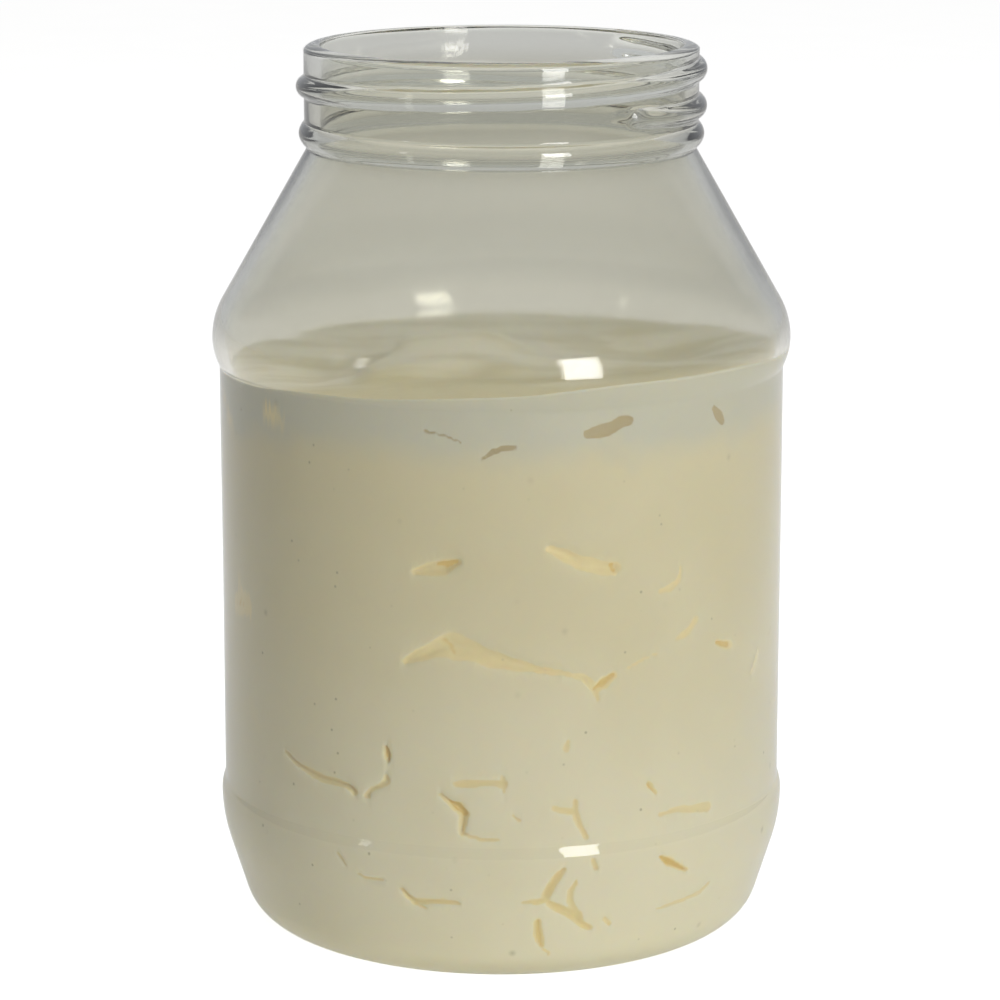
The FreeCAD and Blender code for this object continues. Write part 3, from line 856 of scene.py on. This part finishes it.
def clear_plastic():
    """Clear moulded plastic: faint grey-green tint, hazy patches and fine handling marks."""
    material, t = new_material("clear_plastic")
    place = t.add("ShaderNodeTexCoord").outputs["Object"]
    haze = use_group(t, UNEVEN, Vector=place, Size=34.0, Detail=4.0, Low=0.35, High=0.75)
    stretched = t.add("ShaderNodeMapping")
    stretched.inputs["Scale"].default_value = (1.0, 1.0, 0.12)
    t.links.new(place, stretched.inputs["Vector"])
    streaks = use_group(t, UNEVEN, Vector=stretched.outputs[0], Size=2.2, Detail=5.0, Low=0.4,
                        High=0.8)
    dust = use_group(t, SPECKS, Vector=place, Spacing=5.0, Radius=0.16, Share=0.25)
    body = t.add("ShaderNodeBsdfPrincipled")
    body.inputs["IOR"].default_value = PLASTIC_IOR
    body.inputs["Transmission Weight"].default_value = 1.0
    cloudy = t.math("MULTIPLY", haze["Mask"], 0.6)
    tint = mix_colour(t, cloudy, PLASTIC_TINT, PLASTIC_HAZE_TINT)
    split = t.add("ShaderNodeSeparateXYZ")
    t.links.new(place, split.inputs[0])
    height = split.outputs[2]
    above = height_ramp(t, height, PANEL_TOP_Z, 2.0, 14.0)
    foot = height_ramp(t, height, NECK_FOOT_Z, -6.0, 2.0)
    near_lip = height_ramp(t, height, LIP_Z, -13.0, -4.0)
    low_cone = height_ramp(t, height, PANEL_TOP_Z, 15.0, 21.0)
    mid_cone = height_ramp(t, height, PANEL_TOP_Z, 27.0, 36.0)
    tint = mix_colour(t, above, tint, PLASTIC_CONE_TINT)
    band = t.math("SUBTRACT", low_cone, mid_cone, clamp=True)
    tint = mix_colour(t, band, tint, PLASTIC_SHOULDER_TINT)
    # painted shade: the neck's tint is darker than its thicker wall alone would make it
    tint = mix_colour(t, foot, tint, PLASTIC_NECK_TINT_AND_SHADE)
    tint = mix_colour(t, near_lip, tint, PLASTIC_LIP_TINT)
    t.feed(body.inputs["Base Color"], tint)
    rough = t.math("MULTIPLY_ADD", streaks["Mask"], STREAK_ROUGHNESS, PLASTIC_ROUGHNESS)
    on_cone = t.math("SUBTRACT", above, foot, clamp=True)
    rough = t.math("MULTIPLY_ADD", on_cone, CONE_ROUGHNESS, rough)
    t.feed(body.inputs["Roughness"], t.math("MULTIPLY_ADD", dust["Mask"], 0.3, rough))
    skin = t.add("ShaderNodeBump")
    skin.inputs["Strength"].default_value = 0.25
    skin.inputs["Distance"].default_value = 0.00012
    relief = t.math("ADD", haze["Height"], t.math("MULTIPLY", streaks["Height"], 0.2))
    t.feed(skin.inputs["Height"], relief)
    t.links.new(skin.outputs[0], body.inputs["Normal"])
    rays = t.add("ShaderNodeLightPath").outputs
    clear = t.add("ShaderNodeBsdfTransparent")
    clear.inputs["Color"].default_value = PLASTIC_PASSING
    mixed = t.add("ShaderNodeMixShader")
    straight_on = t.math("GREATER_THAN", rays["Ray Depth"], DEEPEST_BOUNCE)
    passes = t.math("MAXIMUM", rays["Is Shadow Ray"], rays["Is Diffuse Ray"])
    t.links.new(t.math("MAXIMUM", passes, straight_on), mixed.inputs[0])
    t.links.new(body.outputs[0], mixed.inputs[1])
    t.links.new(clear.outputs[0], mixed.inputs[2])
    t.links.new(mixed.outputs[0], t.add("ShaderNodeOutputMaterial").inputs["Surface"])
    return material


CREAM = (0.735, 0.672, 0.455, 1.0)
CREAM_PALE_AND_LIT = (0.825, 0.78, 0.60, 1.0)           # paler cream, for random drift and for painted light lower down
TOP_PALE = (0.88, 0.83, 0.66, 1.0)
TOP_DEEP = (0.70, 0.62, 0.35, 1.0)
# painted shade of the folds in the top
TOP_FOLD_SHADE = (0.725, 0.663, 0.455, 1.0)
SMEAR_GREY = (0.635, 0.63, 0.53, 1.0)
POCKET_CREAM = (0.88, 0.77, 0.47, 1.0)
# painted shade in the deeper middle of the air pockets
POCKET_SHADE_BROWN = (0.79, 0.585, 0.185, 1.0)
# painted shade of the filling seen through the smear's gaps
WINDOW_SHADE_TAN = (0.50, 0.405, 0.215, 1.0)
SPECK_OLIVE = (0.46, 0.42, 0.26, 1.0)
LIT_CREAM_BELOW = 30.0             # heights between which the painted light lower down gives way, mm
LIT_CREAM_ABOVE = 115.0
SMEAR_FOOT = 150.5            # heights between which the smear comes in, mm
SMEAR_FULL = 162.0
TOP_NEAR = 30.0               # towards the front of the top its colour deepens, mm from the axis
TOP_NEAREST = 62.0


def mayonnaise():
    """Thick pale-yellow sauce: matt where it clings to the wall and wet where it is free."""
    material, t = new_material("mayonnaise")
    place = t.add("ShaderNodeTexCoord").outputs["Object"]
    split = t.add("ShaderNodeSeparateXYZ")
    t.links.new(place, split.inputs[0])
    drift = use_group(t, UNEVEN, Vector=place, Size=45.0, Detail=3.0, Low=0.35, High=0.7)
    fine = use_group(t, UNEVEN, Vector=place, Size=3.0, Detail=4.0, Low=0.4, High=0.7)
    specks = use_group(t, SPECKS, Vector=place, Spacing=5.0, Radius=0.5, Share=0.5)
    smudges = use_group(t, SPECKS, Vector=place, Spacing=13.0, Radius=1.3, Share=0.6)
    patches = use_group(t, UNEVEN, Vector=place, Size=14.0, Detail=4.0, Low=0.4, High=0.6)
    on_wall = attribute(t, "wall")
    height = split.outputs[2]
    # painted light: the filling is paler lower down, where the floor lights it
    lower = t.math("SUBTRACT", 1.0, ramp(t, height, LIT_CREAM_BELOW * MM, LIT_CREAM_ABOVE * MM))
    on_top = t.math("SUBTRACT", 1.0, on_wall)
    swept = t.add("ShaderNodeMapping")
    swept.inputs["Scale"].default_value = (0.45, 1.3, 1.0)
    t.links.new(place, swept.inputs["Vector"])
    # painted shade: darker streaks over the free top stand for the shade of its folds
    fold_shade_streaks = use_group(t, UNEVEN, Vector=swept.outputs[0], Size=20.0, Detail=4.0, Low=0.4, High=0.6)
    forward = t.math("MULTIPLY", split.outputs[1], -1.0)
    nearer = ramp(t, forward, TOP_NEAR * MM, TOP_NEAREST * MM)
    # random drift in tone, plus the painted light lower down
    paler = t.math("MULTIPLY_ADD", drift["Mask"], 0.25, t.math("MULTIPLY", lower, 0.85), clamp=True)
    cream = mix_colour(t, paler, CREAM, CREAM_PALE_AND_LIT)
    free_top = mix_colour(t, fold_shade_streaks["Mask"], TOP_PALE, TOP_FOLD_SHADE)
    free_top = mix_colour(t, t.math("MULTIPLY", nearer, 0.85), free_top, TOP_DEEP)
    cream = mix_colour(t, on_top, cream, free_top)
    edge = t.math("MULTIPLY_ADD", drift["Height"], 0.014, height)
    edge = t.math("MULTIPLY_ADD", patches["Height"], 0.010, edge)
    smear = t.math("MULTIPLY", ramp(t, edge, SMEAR_FOOT * MM, SMEAR_FULL * MM), on_wall)
    smear = t.math("MULTIPLY", smear, 0.85)
    colour = mix_colour(t, smear, cream, SMEAR_GREY)
    # painted shade: the filling in the smear's gaps is painted tan
    gap = ramp(t, attribute(t, "gap"), 0.05, 0.55)
    colour = mix_colour(t, t.math("MULTIPLY", gap, 0.95), colour, WINDOW_SHADE_TAN)
    pocket = attribute(t, "pocket")
    colour = mix_colour(t, ramp(t, pocket, 0.0, 0.25), colour, POCKET_CREAM)
    # painted shade: the deeper middle of a pocket turns brown
    deep = t.math("MULTIPLY", ramp(t, pocket, 0.45, 0.9), 0.9)
    colour = mix_colour(t, deep, colour, POCKET_SHADE_BROWN)
    fleck = t.math("MULTIPLY", specks["Mask"], 2.5, clamp=True)
    spots = t.math("MULTIPLY", smudges["Mask"], 0.8, clamp=True)
    marks = t.math("MULTIPLY", t.math("MAXIMUM", t.math("MULTIPLY", fleck, 0.75), spots), on_wall)
    colour = mix_colour(t, marks, colour, SPECK_OLIVE)
    body = t.add("ShaderNodeBsdfPrincipled")
    t.feed(body.inputs["Base Color"], colour)
    wet = t.math("MAXIMUM", pocket, t.math("MULTIPLY", gap, 0.3))
    free = t.math("MAXIMUM", on_top, wet)
    rough = t.math("MULTIPLY_ADD", free, -0.5, 0.85)
    t.feed(body.inputs["Roughness"], t.math("MULTIPLY_ADD", fine["Mask"], 0.06, rough))
    body.inputs["Subsurface Weight"].default_value = 0.6
    body.inputs["Subsurface Radius"].default_value = (1.0, 0.8, 0.45)
    body.inputs["Subsurface Scale"].default_value = 0.0022
    body.inputs["IOR"].default_value = 1.42
    skin = t.add("ShaderNodeBump")
    skin.inputs["Strength"].default_value = 0.4
    skin.inputs["Distance"].default_value = 0.0003
    t.feed(skin.inputs["Height"], t.math("MULTIPLY", fine["Height"], on_top))
    t.links.new(skin.outputs[0], body.inputs["Normal"])
    t.links.new(body.outputs[0], t.add("ShaderNodeOutputMaterial").inputs["Surface"])
    return material


# ---------------------------------------------------------------- floor, light and camera

BACKGROUND = 1.0              # what the camera sees past the object
FLOOR_SIZE = 12.0             # half side, m
FLOOR_LIGHT = (0.82, 0.82, 0.81, 1.0)
FLOOR_SHADE = (0.80, 0.80, 0.79, 1.0)
GLASS_SEES = (0.60, 0.615, 0.635, 1.0)      # what shows in clear and glossy surfaces
FILL_LIGHT = 0.20             # light from all round
FLOOR_WHITE = 0.80            # what the camera sees on top of the floor's own light
FLOOR_IN_GLASS = 0.25         # close to the jar
FAR_FLOOR_IN_GLASS = 0.175    # more of it further off
FLOOR_NEAR = 120.0            # from here, mm from the axis
FLOOR_FAR = 450.0             # to here
FLOOR_BOUNCE = 0.32           # light that the floor gives back beside the jar
FLOOR_BOUNCE_REACH = 80.0

# Soft boxes: name, azimuth, elevation, distance, width, height (mm and degrees), power,
# and whether clear and glossy surfaces show them.
SOFT_BOXES = (
    ("key", -59.0, 13.2, 1500.0, 390.0, 800.0, 9.2, True),
    ("left", -146.0, 13.0, 1500.0, 110.0, 360.0, 0.4, True),
    ("side", 5.0, 10.0, 1500.0, 500.0, 700.0, 1.2, False),
    ("top", -90.0, 89.0, 1500.0, 800.0, 800.0, 8.2, False),
)
AIM_HEIGHT = 130.0            # of the jar's middle, at which the soft boxes point

CAMERA_DISTANCE = 1080.3      # from the jar's axis, level
CAMERA_HEIGHT = 354.5
CAMERA_SIDE = -0.4
CAMERA_DOWN = 12.403          # degrees below level
CAMERA_LENS = 143.4


def make_world():
    """White for the camera, pale grey for clear and glossy surfaces, and the fill light."""
    world = bpy.data.worlds.new("studio")
    bpy.context.scene.world = world
    world.use_nodes = True
    world.node_tree.nodes.clear()
    t = Tree(world.node_tree)
    rays = t.add("ShaderNodeLightPath").outputs
    seen = t.math("MAXIMUM", rays["Is Glossy Ray"], rays["Is Transmission Ray"])
    fill = (FILL_LIGHT, FILL_LIGHT, FILL_LIGHT, 1.0)
    white = (BACKGROUND, BACKGROUND, BACKGROUND, 1.0)
    colour = mix_colour(t, rays["Is Camera Ray"], mix_colour(t, seen, fill, GLASS_SEES), white)
    sky = t.add("ShaderNodeBackground")
    t.feed(sky.inputs["Color"], colour)
    t.links.new(sky.outputs[0], t.add("ShaderNodeOutputWorld").inputs["Surface"])


def floor_material():
    """Pale floor, white for the camera and greyer in clear and glossy surfaces."""
    material, t = new_material("pale_floor")
    place = t.add("ShaderNodeTexCoord").outputs["Object"]
    grain = use_group(t, UNEVEN, Vector=place, Size=60.0, Detail=2.0, Low=0.3, High=0.7)
    rays = t.add("ShaderNodeLightPath").outputs
    seen = t.math("MAXIMUM", rays["Is Glossy Ray"], rays["Is Transmission Ray"])
    body = t.add("ShaderNodeBsdfDiffuse")
    t.feed(body.inputs["Color"],
           mix_colour(t, grain["Mask"], FLOOR_SHADE, FLOOR_LIGHT))
    length = t.add("ShaderNodeVectorMath", operation="LENGTH")
    t.links.new(place, length.inputs[0])
    beside = t.math("SUBTRACT", length.outputs["Value"], HEEL_CENTRE[0] * MM)
    fade = t.math("EXPONENT", t.math("DIVIDE", beside, -FLOOR_BOUNCE_REACH * MM))
    bounce = t.math("MULTIPLY", t.math("MULTIPLY", rays["Is Diffuse Ray"], fade), FLOOR_BOUNCE)
    level = t.math("MULTIPLY_ADD", rays["Is Camera Ray"], FLOOR_WHITE, bounce)
    further = ramp(t, length.outputs["Value"], FLOOR_NEAR * MM, FLOOR_FAR * MM)
    far = t.math("MULTIPLY_ADD", further, FAR_FLOOR_IN_GLASS, FLOOR_IN_GLASS)
    glow = t.add("ShaderNodeEmission")
    t.feed(glow.inputs["Strength"], t.math("MULTIPLY_ADD", seen, far, level))
    both = t.add("ShaderNodeAddShader")
    t.links.new(body.outputs[0], both.inputs[0])
    t.links.new(glow.outputs[0], both.inputs[1])
    t.links.new(both.outputs[0], t.add("ShaderNodeOutputMaterial").inputs["Surface"])
    return material


def make_floor():
    """One large square at the jar's foot."""
    size = FLOOR_SIZE
    mesh = bpy.data.meshes.new("floor")
    corners = [(-size, -size, 0.0), (size, -size, 0.0), (size, size, 0.0), (-size, size, 0.0)]
    mesh.from_pydata(corners, [], [(0, 1, 2, 3)])
    mesh.materials.append(floor_material())
    new_object("floor", mesh, smooth=False)


def from_azimuth(azimuth, elevation, distance, height=0.0):
    """Point in metres at a direction from the jar's axis, starting at a height in millimetres."""
    a = math.radians(azimuth)
    e = math.radians(elevation)
    return (distance * math.cos(e) * math.cos(a) * MM,
            distance * math.cos(e) * math.sin(a) * MM,
            (height + distance * math.sin(e)) * MM)


def soft_box(name, azimuth, elevation, distance, width, height, power, shown):
    """Rectangular lamp that points at the jar's middle."""
    data = bpy.data.lights.new(name, "AREA")
    data.shape = "RECTANGLE"
    data.size = width * MM
    data.size_y = height * MM
    data.energy = power
    lamp = bpy.data.objects.new(name, data)
    bpy.context.scene.collection.objects.link(lamp)
    lamp.location = from_azimuth(azimuth, elevation, distance, AIM_HEIGHT)
    lamp.rotation_euler = (math.radians(90.0 - elevation), 0.0, math.radians(azimuth + 90.0))
    lamp.visible_glossy = shown
    lamp.visible_transmission = shown


def make_camera():
    """Level with the jar's axis and a little above it, looking down at the front."""
    data = bpy.data.cameras.new("camera")
    data.lens = CAMERA_LENS
    data.sensor_width = 36.0
    camera = bpy.data.objects.new("camera", data)
    bpy.context.scene.collection.objects.link(camera)
    camera.location = (CAMERA_SIDE * MM, -CAMERA_DISTANCE * MM, CAMERA_HEIGHT * MM)
    camera.rotation_euler = (math.radians(90.0 - CAMERA_DOWN), 0.0, 0.0)
    bpy.context.scene.camera = camera


# ---------------------------------------------------------------- everything in its place

bpy.context.scene.view_settings.view_transform = "Standard"
make_camera()
make_world()
make_floor()
for box in SOFT_BOXES:
    soft_box(*box)

jar = make_jar(clear_plastic())
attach(jar, "root")
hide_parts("jar")

filling = make_filling(mayonnaise())
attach(filling, "root")
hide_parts("mayonnaise")
